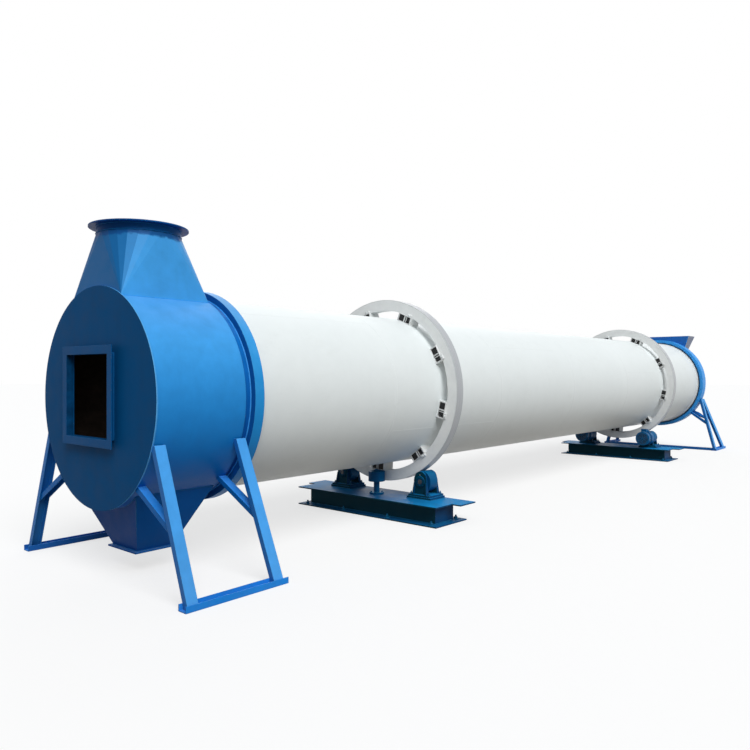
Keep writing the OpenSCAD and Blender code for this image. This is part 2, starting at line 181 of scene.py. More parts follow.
def inside_mask(n, at, normal, inside):
    """1 where a hollow piece faces its own axis, ("x", y, z) or ("z", x, y) through that point,
    or where it faces the way that ("n", x, y, z) points."""
    if inside[0] == "n":
        return n.ramp(n.dot(normal, inside[1:]), 0.3, 0.5)
    if inside[0] == "x":
        through, square = (0, inside[1], inside[2]), (0, 1, 1)
    else:
        through, square = (inside[1], inside[2], 0), (1, 1, 0)
    arm = n.vector("MULTIPLY", n.vector("SUBTRACT", at, through), square)
    return n.ramp(n.dot(arm, normal), -0.02, -0.05)


def paint(name, colour, deep=None, wear=0.5, rough=0.42, specular=0.28, grime=0.0, dust_and_top_light=0.25,
          inside=None, inner=(0.016, 0.011, 0.009), waves=0.5, chip=(0.30, 0.32, 0.33),
          smudge=0.0, painted_edge_highlight=0.35, underside_shade=0.0, rim=None, dusty_sides=0.0, front_shade=0.0,
          dust_and_top_light_colour=(0.42, 0.43, 0.42), streak=0.22, thin=0.15, red_in_shade=1.0, inward_shade=0.0,
          front_shade_tint=(0.1, 0.27, 0.45), drum_shadow_painted=False, flange_shadow_height=None):
    """Sprayed enamel on steel plate: uneven coat, faint streaks, rubbed edges, dusty tops; and
    painted light and shade by facing.

    deep        the colour where the coat is thin
    streak      share of darker runs in the coat, and smudge of grey patches
    painted_edge_highlight  share of a lighter colour painted along edges as a highlight, and wear
    of chips in them, chip coloured dust_and_top_light  share of dust_and_top_light_colour on what
    faces up, at least thin of it everywhere there; grey makes it settled powder, a light blue
    makes it painted top light drum_shadow_painted  less of it in the drum's shadow and on the low
    plates: painted shade
    grime       share of dirt near the floor, and underside_shade of painted shade on what faces down
    front_shade share of painted shade, by front_shade_tint, on what faces -X
    inward_shade share of painted shade on the sides that face the machine
    dusty_sides share of powder on what faces sideways
    red_in_shade how much of the paint's R stays on what faces away from the sky, as painted shade
    rim         the colour of a painted highlight on the front plate's outer edge
    flange_shadow_height  the height just below which the paint is darkened as painted shadow,
    beneath the flange
    inside      where the piece is hollow (see inside_mask), with inner as its colour there; a near-black inner also paints the shade of the hollow
    waves       how strongly the plate is dented
    """
    material = new_material(name, colour)
    n = Nodes(material)
    at, normal = n.place(), n.facing()
    facing_x, facing_y, facing_up = n.split(normal)
    _, sideways, height = n.split(at)
    deep = deep or tuple(c * 0.80 for c in colour)
    big = n.noise(at, 0.9, 4.0, 0.6)
    fine = n.noise(at, 9.0, 5.0, 0.6)
    streaks = n.noise(at, 1.0, 4.0, 0.65, stretch=(9.0, 9.0, 0.9))
    tone = n.math("ADD", n.math("MULTIPLY", big, 0.55), n.math("MULTIPLY", fine, 0.45))
    base = n.mix(n.ramp(tone, 0.36, 0.64), rgb(deep), rgb(colour))
    base = n.mix(n.ramp(streaks, 0.50, 0.78, 0.0, streak), base, rgb(deep, 0.82))
    if smudge:
        patch = n.noise(at, 2.6, 6.0, 0.7, stretch=(0.8, 1.6, 1.6))
        base = n.mix(n.ramp(patch, 0.56, 0.74, 0.0, smudge), base, (0.47, 0.49, 0.46, 1))
    # painted highlight: a light blue on the front plate's outer edge
    if rim:
        outer = n.ramp(n.vector("LENGTH", from_axis(n, at), out=1), HOOD_R - 0.06, HOOD_R - 0.04)
        on_edge = n.ramp(n.math("ABSOLUTE", facing_x), 0.6, 0.4)
        base = n.mix(n.math("MULTIPLY", on_edge, outer), base, rgb(rim))
    # painted shade: what faces down is darkened
    if underside_shade:
        facing_down_shade = n.math("ADD", n.math("MULTIPLY", facing_up, -1.0), n.swing(big, 0.3))
        base = n.mix(n.ramp(facing_down_shade, -0.50, 0.90, 0.0, underside_shade), base,
                     tinted(colour, (0.1, 0.25, 0.50)))
    # painted shade: what faces -X is darkened
    if front_shade:
        toward = n.math("MULTIPLY", facing_x, -1.0)
        base = n.mix(n.ramp(toward, 0.3, 0.8, 0.0, front_shade), base, tinted(colour, front_shade_tint))
    # painted shade: the sides that face the machine are darkened
    if inward_shade:
        sides = n.math("MULTIPLY", facing_y, sideways)
        base = n.mix(n.ramp(sides, -0.2, -0.6, 0.0, inward_shade), base,
                     tinted(colour, (0.1, 0.24, 0.36)))
    if flange_shadow_height:
        # the painted shadow beneath the flange has a ragged edge
        ragged = n.math("ADD", height, n.swing(fine, 0.10))
        base = n.mix(n.ramp(ragged, flange_shadow_height - 0.046, flange_shadow_height - 0.030, 0.0, 0.9), base,
                     (0.005, 0.075, 0.270, 1))
    # painted shade: less red on what faces away from the sky
    if red_in_shade < 1.0:
        base = n.mix(n.ramp(facing_up, 0.75, -0.65), base,
                     n.mix(1.0, base, (red_in_shade, 1, 1, 1), "MULTIPLY"))
    if dusty_sides:
        across = n.ramp(n.math("ABSOLUTE", facing_y), 0.5, 0.8)
        powder = n.math("MULTIPLY", across, n.ramp(fine, 0.30, 0.55, 0.6, 1.0))
        base = n.mix(n.math("MULTIPLY", powder, dusty_sides), base, (0.235, 0.245, 0.300, 1))
    # settled powder on what faces up; with a light blue colour it is painted top light instead
    if dust_and_top_light:
        dust_and_top_light_share = n.math("MULTIPLY", n.ramp(facing_up, 0.55, 0.95),
                         n.ramp(fine, 0.38, 0.66, thin, 1.0))
        # painted shade: the drum's shadow and the low plates get less of it
        if drum_shadow_painted:
            away = n.math("ADD", n.math("ABSOLUTE", sideways), n.swing(big, 0.5))
            dust_and_top_light_share = n.math("MULTIPLY", dust_and_top_light_share, n.ramp(away, 0.30, 0.80, 0.20, 1.0))
            dust_and_top_light_share = n.math("MULTIPLY", dust_and_top_light_share, n.ramp(height, 0.06, 0.12, 0.30, 1.0))
        base = n.mix(n.math("MULTIPLY", dust_and_top_light_share, dust_and_top_light), base, rgb(dust_and_top_light_colour))
    if grime:
        low = n.math("MULTIPLY", n.ramp(height, 0.42, 0.0), n.ramp(streaks, 0.36, 0.62, 0.25, 1.0))
        base = n.mix(n.math("MULTIPLY", low, grime), base, (0.12, 0.105, 0.085, 1))
    # a painted highlight along the edge of a plate; the edge also rubs bare in small chips
    soft = n.put("ShaderNodeBevel", {"Radius": 0.006}, samples=4)
    true_normal = n.put("ShaderNodeNewGeometry", out="True Normal")
    edge = n.ramp(n.math("SUBTRACT", 1.0, n.dot(soft, true_normal)), 0.02, 0.22)
    edge_highlight_colour = [min(1.0, c * 1.35 + 0.05 * c / max(colour)) for c in colour]
    base = n.mix(n.math("MULTIPLY", edge, painted_edge_highlight), base, rgb(edge_highlight_colour))
    chips = n.math("MULTIPLY", edge, n.ramp(n.noise(at, 46.0, 4.0, 0.7), 0.60, 0.66))
    base = n.mix(n.math("MULTIPLY", chips, wear), base, rgb(chip))
    roughness = n.math("ADD", n.ramp(fine, 0.3, 0.7, rough - 0.06, rough + 0.08),
                       n.math("MULTIPLY", chips, 0.15))
    if inside:
        hidden = inside_mask(n, at, normal, inside)
        base = n.mix(hidden, base, n.mix(n.ramp(fine, 0.35, 0.7), rgb(inner), rgb(inner, 2.2)))
        roughness = n.math("MAXIMUM", roughness, n.math("MULTIPLY", hidden, 0.85))
    peel = n.bump(n.noise(at, 260.0, 2.0), 0.12, 0.0008, soft)
    dents = n.bump(n.noise(at, 2.2, 2.0, 0.4), waves, 0.004, peel)
    n.shader(base, roughness, dents, specular=specular)
    return material


HOOD_BLUE = (0.070, 0.385, 0.890)
# painted shade: the station blue is darkened to the tone of its shaded sides
STATION_BLUE = (0.001, 0.060, 0.180)
WHITE = (0.815, 0.865, 0.870)
TYRE_WHITE = (0.88, 0.90, 0.895)
ON_AXIS = ("x", 0.0, AXIS_Z)
UP_EXHAUST = ("z", EXHAUST_X, 0.0)

MAT = {
    "hood_shell": paint("hood_shell_enamel", HOOD_BLUE, inside=ON_AXIS, waves=0.7, underside_shade=0.95,
                        specular=0.12, red_in_shade=0.05, dust_and_top_light=0.08),
    # painted shade: a darker copy of the hood blue, for the neck in shade between hood and seal
    # ring
    "neck": paint("hood_neck_enamel", (0.005, 0.170, 0.560), inside=ON_AXIS, underside_shade=0.8, front_shade=0.7,
                  specular=0.12),
    # painted shade: a darker copy of the hood blue for the front plate, with a painted highlight
    # on its rim
    "front": paint("front_plate_enamel", (0.002, 0.076, 0.230), inside=("n", 1.0, 0.0, 0.0),
                   waves=0.8, specular=0.03, rough=0.5, painted_edge_highlight=0.5, rim=(0.12, 0.46, 0.90),
                   dust_and_top_light=0.0),
    # painted shade: the front plate's darker blue, and a darker blue again on the duct's inner
    # faces
    "opening": paint("opening_frame_enamel", (0.002, 0.080, 0.250), specular=0.04, painted_edge_highlight=0.6,
                     inside=("x", OPENING_Y, OPENING_Z), inner=(0.001, 0.030, 0.090)),
    "transition": paint("transition_enamel", (0.080, 0.395, 0.880), inside=UP_EXHAUST, waves=0.9,
                        specular=0.08, front_shade=0.95, front_shade_tint=(0.05, 0.28, 0.37), red_in_shade=0.6,
                        flange_shadow_height=TRANSITION[1].z),
    # painted shade: a darker copy of the hood blue for the exhaust flange
    "flange": paint("exhaust_flange_enamel", (0.004, 0.125, 0.390), inside=UP_EXHAUST, waves=0.4,
                    specular=0.06, front_shade=0.60, underside_shade=0.8, wear=0.8, painted_edge_highlight=0.05),
    # painted shade: a darker copy of the hood blue for the hopper beneath the hood
    "hopper": paint("hopper_enamel", (0.006, 0.165, 0.540), inside=("z", OUTLET_X, 0.0), waves=0.9,
                    grime=0.15, specular=0.03, underside_shade=0.6, front_shade=0.75),
    # painted shade: its near-black inside stands for the shade in the gap round the drum
    "seal": paint("seal_enamel", (0.070, 0.370, 0.810), deep=(0.026, 0.300, 0.720), inside=ON_AXIS,
                  inner=(0.012, 0.012, 0.014), painted_edge_highlight=0.5, underside_shade=0.6, specular=0.14, front_shade=1.0,
                  red_in_shade=0.1),
    "legs": paint("leg_enamel", (0.090, 0.385, 0.900), grime=0.12, dust_and_top_light=0.1, wear=0.8,
                  specular=0.12, front_shade=0.8, red_in_shade=0.3, inward_shade=0.75),
    "beams": paint("beam_enamel", (0.022, 0.275, 0.870), grime=0.12, dust_and_top_light=0.1, wear=0.8,
                   specular=0.08, front_shade=0.8, front_shade_tint=(0.1, 0.36, 0.42), red_in_shade=0.3, inward_shade=0.75),
    # painted shade: its near-black inside stands for the shade in the gap round the drum
    "feed": paint("feed_hood_enamel", (0.055, 0.370, 0.900), deep=(0.035, 0.310, 0.800),
                  inside=ON_AXIS, inner=(0.010, 0.010, 0.012), specular=0.14, dust_and_top_light=0.1),
    # painted shade: a darker copy of the hood blue for the chute
    "chute": paint("chute_enamel", (0.014, 0.170, 0.520), deep=(0.010, 0.130, 0.430),
                   inside=("z", CHUTE_X, 0.0), inner=(0.10, 0.085, 0.07), dusty_sides=0.85),
    # painted light: the light blue dust colour paints the lit tops of the station
    "station": paint("station_enamel", STATION_BLUE, deep=(0.001, 0.048, 0.145), grime=0.05,
                     dust_and_top_light=0.9, wear=0.9, specular=0.05, rough=0.45, painted_edge_highlight=0.25,
                     dust_and_top_light_colour=(0.010, 0.300, 0.700), front_shade=0.8, front_shade_tint=(0.1, 0.60, 0.22),
                     streak=0.12, thin=0.75, drum_shadow_painted=True),
    # painted light: the light blue dust colour paints the lit tops of the rollers
    "roller": paint("roller_enamel", (0.001, 0.105, 0.265), deep=(0.001, 0.085, 0.210), grime=0.04,
                    dust_and_top_light=0.5, wear=0.9, specular=0.08, front_shade=0.5, dust_and_top_light_colour=(0.002, 0.210, 0.460),
                    thin=0.6),
    "motor": paint("motor_enamel", (0.003, 0.115, 0.300), grime=0.1, dust_and_top_light=0.25, wear=0.6,
                   rough=0.38, specular=0.15),
    "drum": paint("drum_enamel", WHITE, deep=(0.785, 0.835, 0.840), inside=ON_AXIS,
                  inner=(0.055, 0.040, 0.030), dust_and_top_light=0.0, waves=0.35, smudge=0.10, streak=0.08,
                  painted_edge_highlight=0.0, specular=0.15),
    "pads": paint("pad_enamel", (0.82, 0.84, 0.84), dust_and_top_light=0.0, waves=0.2, smudge=0.25,
                  painted_edge_highlight=0.1, chip=(0.20, 0.17, 0.14)),
}


def tyre_material():
    """White sides, and a tread that the rollers polish to grey steel."""
    material = new_material("tyre_steel", TYRE_WHITE)
    n = Nodes(material)
    at, normal = n.place(), n.facing()
    tyre_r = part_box("discharge_tyre")[1].y
    arm = from_axis(n, at)
    radius = n.vector("LENGTH", arm, out=1)
    tread = n.ramp(n.dot(n.vector("NORMALIZE", arm), normal), 0.6, 0.8)
    fine = n.noise(at, 14.0, 5.0, 0.6)
    smear = n.noise(at, 3.0, 6.0, 0.7)
    side = n.mix(n.ramp(fine, 0.35, 0.65), (0.84, 0.86, 0.86, 1), rgb(TYRE_WHITE))
    side = n.mix(n.ramp(smear, 0.54, 0.78, 0.0, 0.30), side, (0.58, 0.60, 0.60, 1))
    # the outer rim of each side is rubbed thin
    side = n.mix(n.ramp(radius, tyre_r - 0.012, tyre_r - 0.002, 0.0, 0.35), side,
                 (0.50, 0.52, 0.53, 1))
    rings = n.noise(at, 1.0, 3.0, 0.6, stretch=(420.0, 3.0, 3.0))
    steel = n.mix(n.ramp(rings, 0.3, 0.7), (0.36, 0.385, 0.41, 1), (0.52, 0.54, 0.57, 1))
    rough = n.math("SUBTRACT", n.ramp(fine, 0.3, 0.7, 0.38, 0.50), n.math("MULTIPLY", tread, 0.08))
    soft = n.put("ShaderNodeBevel", {"Radius": 0.005}, samples=4)
    n.shader(n.mix(tread, side, steel), rough, n.bump(rings, 0.15, 0.001, soft), specular=0.5)
    return material


def plain(name, colour, rough, metallic=0.0, scale=140.0, spread=0.12, bump=0.0005, specular=0.4,
          stain=0.4):
    """Small parts: one tone, uneven at a small scale, with its own roughness and bump."""
    material = new_material(name, colour)
    n = Nodes(material)
    at = n.place()
    grain = n.noise(at, scale, 5.0, 0.65)
    patch = n.noise(at, scale * 0.15, 3.0, 0.6)
    base = n.mix(n.ramp(grain, 0.3, 0.7), rgb(colour, 1 - spread), rgb(colour, 1 + spread))
    base = n.mix(n.ramp(patch, 0.5, 0.75, 0.0, stain), base, rgb(colour, 0.6))
    n.shader(base, n.ramp(patch, 0.3, 0.7, rough - 0.08, rough + 0.1), n.bump(grain, 0.5, bump),
             metallic=metallic, specular=specular)
    return material


MAT.update({
    "tyre": tyre_material(),
    # painted shade: black that stands for the shade in the pads' hollow windows and slits and
    # behind the fan grille
    "shade_black": plain("painted_shade_black", (0.012, 0.012, 0.013), 0.75, scale=90.0, spread=0.25),
    "gap": plain("seal_packing", (0.020, 0.018, 0.017), 0.9, scale=160.0, spread=0.25, bump=0.002),
    "steel": plain("bright_bolt", (0.42, 0.43, 0.45), 0.38, metallic=0.7, scale=120.0),
    "dark_steel": plain("oiled_steel", (0.060, 0.062, 0.068), 0.45, metallic=0.6, scale=80.0,
                        spread=0.25),
    "weld_white": plain("weld_white", WHITE, 0.45, spread=0.05, bump=0.0008, specular=0.22,
                        stain=0.10),
    "weld_blue": plain("weld_blue", (0.045, 0.345, 0.830), 0.42, spread=0.10, bump=0.0012,
                       specular=0.15),
    # painted shade: the darker blue of the shaded pieces these welds sit on
    "weld_deep": plain("weld_deep_blue", (0.005, 0.110, 0.330), 0.45, bump=0.0012, specular=0.06),
    # painted shade: weld_teal and bolt_blue take the station's darkened blue
    "weld_teal": plain("weld_teal", (0.002, 0.095, 0.205), 0.45, bump=0.0012, specular=0.15),
    "bolt_blue": plain("painted_bolt", (0.002, 0.100, 0.220), 0.42, scale=70.0, spread=0.15,
                       specular=0.2),
})

LOOK = {
    "hood_front_plate": "front", "gas_opening_frame": "opening", "hood_shell": "hood_shell",
    "hood_neck": "neck", "discharge_seal_ring": "seal", "exhaust_transition": "transition",
    "exhaust_flange": "flange", "discharge_hopper": "hopper", "outlet_flange": "hopper",
    "hood_legs": "legs", "hood_braces": "beams", "hood_foot_beams": "beams",
    "drum_shell": "drum", "discharge_tyre": "tyre", "feed_tyre": "tyre",
    "discharge_tyre_pads": "pads", "feed_tyre_pads": "pads",
    "gearmotor_right": "motor", "gearmotor_left": "motor",
    "feed_hood_shell": "feed", "feed_hood_face": "feed", "feed_hood_end_plate": "feed",
    "feed_chute": "chute", "feed_legs": "legs", "feed_braces": "beams", "feed_foot_beams": "beams",
    "feed_cross_beam": "beams",
}
for name, obj in nodes.items():
    look = LOOK.get(name, "roller" if "roller" in name else "station")
    for slot in obj.material_slots:
        slot.material = MAT[look]


# ---- mesh building ----
class Shape:
    """Gathers closed solids into one mesh."""

    def __init__(self):
        self.verts, self.faces, self.smooth = [], [], []

    def add(self, verts, faces, smooth=False):
        start = len(self.verts)
        self.verts += [tuple(v) for v in verts]
        self.faces += [[i + start for i in f] for f in faces]
        self.smooth += [smooth] * len(faces)

    def piece(self, name, look, body, slot):
        mesh = bpy.data.meshes.new(name)
        mesh.from_pydata(self.verts, [], self.faces)
        mesh.polygons.foreach_set("use_smooth", self.smooth)
        mesh.materials.append(MAT[look])
        mesh.update()
        obj = bpy.data.objects.new(name, mesh)
        scene.collection.objects.link(obj)
        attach(obj, body)


def basis(axis):
    """Two directions square to axis, and axis itself, as the rows of a right-handed frame."""
    w = Vector(axis).normalized()
    u = w.cross(Vector((0, 0, 1)) if abs(w.z) < 0.9 else Vector((1, 0, 0))).normalized()
    return u, w.cross(u), w


def corners(low_a, high_a, low_b, high_b):
    """The four corners of a rectangle, in order round it."""
    return (low_a, low_b), (high_a, low_b), (high_a, high_b), (low_a, high_b)


def polar(radius, degrees):
    a = math.radians(degrees)
    return radius * math.cos(a), radius * math.sin(a)


def spokes(degrees):
    """The frame (along X, round X, out from X) at that angle from +Y to +Z."""
    c, s = polar(1.0, degrees)
    return Vector((1, 0, 0)), Vector((0, -s, c)), Vector((0, c, s))


def around_drum(x, radius, degrees):
    """A point round the drum's axis; 0 is the top and 90 the -Y side."""
    up, side = polar(radius, degrees)
    return x, -side, AXIS_Z + up


def ring_path(x, radius, start=0.0, end=360.0, steps=180):
    count = steps if end - start >= 360 else steps + 1
    return [around_drum(x, radius, start + (end - start) * k / steps) for k in range(count)]


def flat_ring(cx, cy, z, radius, steps=120):
    out = []
    for k in range(steps):
        dx, dy = polar(radius, 360 * k / steps)
        out.append((cx + dx, cy + dy, z))
    return out


def turned(shape, at, axis, profile, sides, turn=0.0, smooth=False, closed=False):
    """A body turned about axis through at; profile is (radius, distance along the axis) from one
    pole or rim to the other, and closed joins its two ends, as a ring needs."""
    u, v, w = basis(axis)
    at = Vector(at)
    verts, rows = [], []
    for radius, t in profile:
        if radius < 1e-6:
            rows.append([len(verts)] * sides)
            verts.append(at + w * t)
            continue
        rows.append([len(verts) + k for k in range(sides)])
        for k in range(sides):
            a = turn + 2 * math.pi * k / sides
            verts.append(at + w * t + (u * math.cos(a) + v * math.sin(a)) * radius)
    faces = []
    pairs = list(zip(rows, rows[1:])) + ([(rows[-1], rows[0])] if closed else [])
    for low, high in pairs:
        for k in range(sides):
            j = (k + 1) % sides
            face = list(dict.fromkeys((low[k], low[j], high[j], high[k])))
            if len(face) > 2:
                faces.append(face)
    shape.add(verts, faces, smooth)


def disc(shape, at, axis, radius, height, sides=24, edge=0.0, turn=0.0):
    edge = min(edge, height * 0.45, radius * 0.3)
    profile = [(0, 0), (radius, 0), (radius, height - edge), (radius - edge, height), (0, height)]
    turned(shape, at, axis, profile, sides, turn)


def hex_bolt(shape, at, axis, size, washer=True, stud=0.0):
    """A hexagon nut or head of that width across flats, on its washer, with the stud's end."""
    base = 0.0
    w = Vector(axis).normalized()
    if washer:
        base = size * 0.12
        disc(shape, at, axis, size * 0.98, base, 20, edge=size * 0.03)
    disc(shape, Vector(at) + w * base, axis, size / math.sqrt(3), size * 0.55, 6,
         edge=size * 0.09, turn=rng.random())
    if stud:
        disc(shape, Vector(at) + w * (base + size * 0.55), axis, size * 0.30, stud, 12,
             edge=size * 0.06)


def chamfered(shape, low, high, cut, axes=None, at=(0, 0, 0)):
    """A block with every edge cut off; axes turns it, at moves it."""
    low, high = np.array(low, float), np.array(high, float)
    mid, half = (low + high) / 2, (high - low) / 2
    cut = min(cut, half.min() * 0.5)
    signs = [(a, b, c) for a in (-1, 1) for b in (-1, 1) for c in (-1, 1)]
    # each corner gives three points, one in each of the planes that meet there
    verts, index = [], {}
    for s in signs:
        for axis in range(3):
            index[s, axis] = len(verts)
            verts.append(mid + [s[i] * (half[i] - (0 if i == axis else cut)) for i in range(3)])
    faces = []
    for axis in range(3):
        p, q = [i for i in range(3) if i != axis]

        def corner(along, a, b, plane):
            s = [0, 0, 0]
            s[axis], s[p], s[q] = along, a, b
            return index[tuple(s), plane]

        for side in (-1, 1):
            faces.append([corner(side, a, b, axis) for a, b in corners(-1, 1, -1, 1)])
        for a in (-1, 1):
            for b in (-1, 1):
                faces.append([corner(-1, a, b, p), corner(1, a, b, p), corner(1, a, b, q),
                              corner(-1, a, b, q)])
    faces += [[index[s, axis] for axis in range(3)] for s in signs]
    outward = []
    for face in faces:
        points = [verts[i] for i in face]
        normal = np.cross(points[1] - points[0], points[2] - points[0])
        away = sum(points) / len(points) - mid
        outward.append(face if np.dot(normal, away) > 0 else face[::-1])
    u, v, w = axes or (Vector((1, 0, 0)), Vector((0, 1, 0)), Vector((0, 0, 1)))
    shape.add([u * x + v * y + w * z + Vector(at) for x, y, z in verts], outward)


def bead(shape, path, radius, closed=False, sides=6, step=0.014, ripple=0.16):
    """A weld bead along a path, with the small lumps of its runs."""
    points = [Vector(p) for p in path]
    if closed:
        points.append(points[0])
    dense = []
    for a, b in zip(points, points[1:]):
        runs = max(1, round((b - a).length / step))
        dense += [a.lerp(b, k / runs) for k in range(runs)]
    if not closed:
        dense.append(points[-1])
    count = len(dense)
    verts, faces = [], []
    for i, p in enumerate(dense):
        ahead = dense[(i + 1) % count] if closed or i + 1 < count else p
        behind = dense[i - 1] if closed or i > 0 else p
        along = (ahead - behind).normalized()
        if i == 0:
            side = basis(along)[0]
        side = (side - along * side.dot(along)).normalized()
        up = along.cross(side)
        r = radius * (1 + ripple * (rng.random() - 0.5) * 2)
        if not closed and i in (0, count - 1):
            r *= 0.5
        for k in range(sides):
            a = 2 * math.pi * k / sides
            verts.append(p + (side * math.cos(a) + up * math.sin(a)) * r)
    for i in range(count if closed else count - 1):
        j = (i + 1) % count
        for k in range(sides):
            m = (k + 1) % sides
            faces.append([i * sides + k, i * sides + m, j * sides + m, j * sides + k])
    if not closed:
        faces.append(list(range(sides))[::-1])
        faces.append([(count - 1) * sides + k for k in range(sides)])
    shape.add(verts, faces, True)


# ---- discharge hood ----
def hood_welds():
    s, dark = Shape(), Shape()
    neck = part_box("hood_neck")
    bead(s, ring_path(HOOD[0].x + 0.003, HOOD_R + 0.002), 0.005, closed=True)
    bead(s, ring_path(neck[0].x + 0.007, NECK_R + 0.002), 0.005, closed=True)
    bead(s, ring_path(SEAL[0].x - 0.002, NECK_R + 0.002), 0.005, closed=True)
    # the square base of the transition on the shell
    front, back, half = TRANSITION[0].x, TRANSITION[1].x, TRANSITION[1].y
    base_z = AXIS_Z + math.sqrt(HOOD_R ** 2 - half ** 2)
    for y in (-half - 0.001, half + 0.001):
        bead(s, [(front, y, base_z), (back, y, base_z)], 0.005)
    reach = math.degrees(math.asin(half / HOOD_R))
    bead(s, ring_path(back + 0.002, HOOD_R + 0.001, -reach, reach, 60), 0.005)
    # the exhaust's short neck on the transition, and the flange on the neck
    pipe_r = EXHAUST[1].y - EXHAUST_FLANGE_WIDTH
    for z in (EXHAUST[0].z + 0.001, EXHAUST[1].z - FLANGE_THICKNESS):
        bead(dark, flat_ring(EXHAUST_X, 0, z, pipe_r + 0.001), 0.004, closed=True)
    s.piece("hood_weld_seams", "weld_blue", "frame", "hood_blue")
    dark.piece("exhaust_weld_seams", "weld_deep", "frame", "hood_blue")


def hopper_welds():
    s = Shape()
    foot_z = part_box("discharge_hopper")[0].z

    def taper(z, i):
        """The front (0), back (1) or half width (2) of the hopper at that height."""
        down = (HOPPER_TOP_Z - z) / (HOPPER_TOP_Z - foot_z)
        return HOPPER_TOP[i] + down * (HOPPER_FOOT[i] - HOPPER_TOP[i])

    # the height at which the hopper's sides leave the round shell
    meet_z = HOPPER_TOP_Z
    while math.hypot(taper(meet_z, 2), AXIS_Z - meet_z) < HOOD_R:
        meet_z -= 0.0005
    meet_y = taper(meet_z, 2)
    for i, out in ((0, -0.002), (1, 0.002)):
        path = []
        for k in range(41):
            y = meet_y * (1 - k / 20)
            z = AXIS_Z - math.sqrt(HOOD_R ** 2 - y * y)
            path.append((taper(z, i) + out, y, z))
        bead(s, path, 0.005)
    foot_x1, foot_x2, foot_y = HOPPER_FOOT
    for side in (-1, 1):
        y = side * (meet_y + 0.001)
        bead(s, [(taper(meet_z, 0), y, meet_z), (taper(meet_z, 1), y, meet_z)], 0.005)
        for i in (0, 1):
            bead(s, [(taper(meet_z, i), side * meet_y, meet_z),
                     (HOPPER_FOOT[i], side * foot_y, foot_z + FLANGE_THICKNESS)],
                 0.0035, ripple=0.08)
    z = OUTLET[1].z + 0.001
    bead(s, [(x, y, z) for x, y in corners(foot_x1, foot_x2, -foot_y, foot_y)], 0.004, closed=True)
    s.piece("hopper_weld_seams", "weld_deep", "frame", "hood_blue")


def opening_welds():
    """The duct of the gas opening on the front plate, and its flange on the duct."""
    s = Shape()
    low, high = ([v + way * OPENING_FLANGE_WIDTH for v in corner]
                 for corner, way in ((OPENING[0], 1), (OPENING[1], -1)))
    for x, r in ((PLATE[0].x - 0.002, 0.005), (OPENING[0].x + 0.007, 0.003)):
        bead(s, [(x, y, z) for y, z in corners(low[1], high[1], low[2], high[2])], r, closed=True)
    s.piece("opening_weld_seams", "weld_deep", "frame", "hood_blue")


def ring_of_bolts(x, radius, way, size, name):
    bolts = Shape()
    for k in range(24):
        hex_bolt(bolts, around_drum(x, radius, 7.5 + 15 * k), (way, 0, 0), size)
    bolts.piece(name, "weld_blue", "frame", "hood_blue")


def seal_details():
    """The packing that closes the gap between ring and drum, and the bolts that clamp it."""
    s = Shape()
    for x in (SEAL[0].x + 0.005, SEAL[1].x - 0.005):
        bead(s, ring_path(x, DRUM_R + 0.0038, steps=240), 0.0026, closed=True, sides=8, step=0.02,
             ripple=0.05)
    s.piece("seal_packing_ropes", "gap", "frame", "hood_blue")
    ring_of_bolts(SEAL[1].x, DRUM_R + 0.036, 1, 0.016, "seal_clamp_bolts")


# ---- drum ----
def drum_seams():
    """The welds round the drum between its plates, and one along each plate."""
    s = Shape()
    turns = (32, 118, 51, 197, 75, 140)         # degrees, one for each plate
    ends = [DRUM[0].x + (DRUM[1].x - DRUM[0].x) * k / len(turns) for k in range(len(turns) + 1)]
    for x in ends[1:-1]:
        turned(s, (x, 0, AXIS_Z), (1, 0, 0),
               [(DRUM_R - 0.002, -0.012), (DRUM_R + 0.0006, -0.007), (DRUM_R + 0.0012, 0.0),
                (DRUM_R + 0.0006, 0.007), (DRUM_R - 0.002, 0.012)], 240, smooth=True, closed=True)
    for x1, x2, turn in zip(ends, ends[1:], turns):
        bead(s, [around_drum(x, DRUM_R - 0.0022, turn) for x in (x1 + 0.012, x2 - 0.012)],
             0.0034, step=0.03, ripple=0.06, sides=8)
    s.piece("drum_weld_seams", "weld_white", "drum", "drum_white")


def drum_end_bands():
    """A stiffening band round the drum's feed end, where it runs into its seal."""
    s = Shape()
    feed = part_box("feed_hood_face")
    x1, x2 = feed[0].x - 0.075, feed[0].x - 0.020
    inner, edge, outer = DRUM_R - 0.002, DRUM_R + 0.006, DRUM_R + 0.008
    turned(s, (0, 0, AXIS_Z), (1, 0, 0),
           [(inner, x1), (edge, x1), (outer, x1 + 0.002), (outer, x2 - 0.002), (edge, x2),
            (inner, x2)], 240, closed=True)
    s.piece("drum_end_band", "pads", "drum", "drum_white")


def wedge(shape, reach, start, end, low, high, spot):
    """Fills the rest of a pad's window with a dark wedge of painted shade: as high as the window
    at start, thin at end.
    """
    flat = [(start, low), (start, high), (end, high - 0.004), (end, high - 0.018)]
    if start > end:
        flat = flat[::-1]
    verts = [spot(x, y, z) for x in (-reach, reach) for y, z in flat]
    shape.add(verts, [[0, 1, 2, 3], [7, 6, 5, 4], [0, 4, 5, 1], [1, 5, 6, 2], [2, 6, 7, 3],
                      [3, 7, 4, 0]])


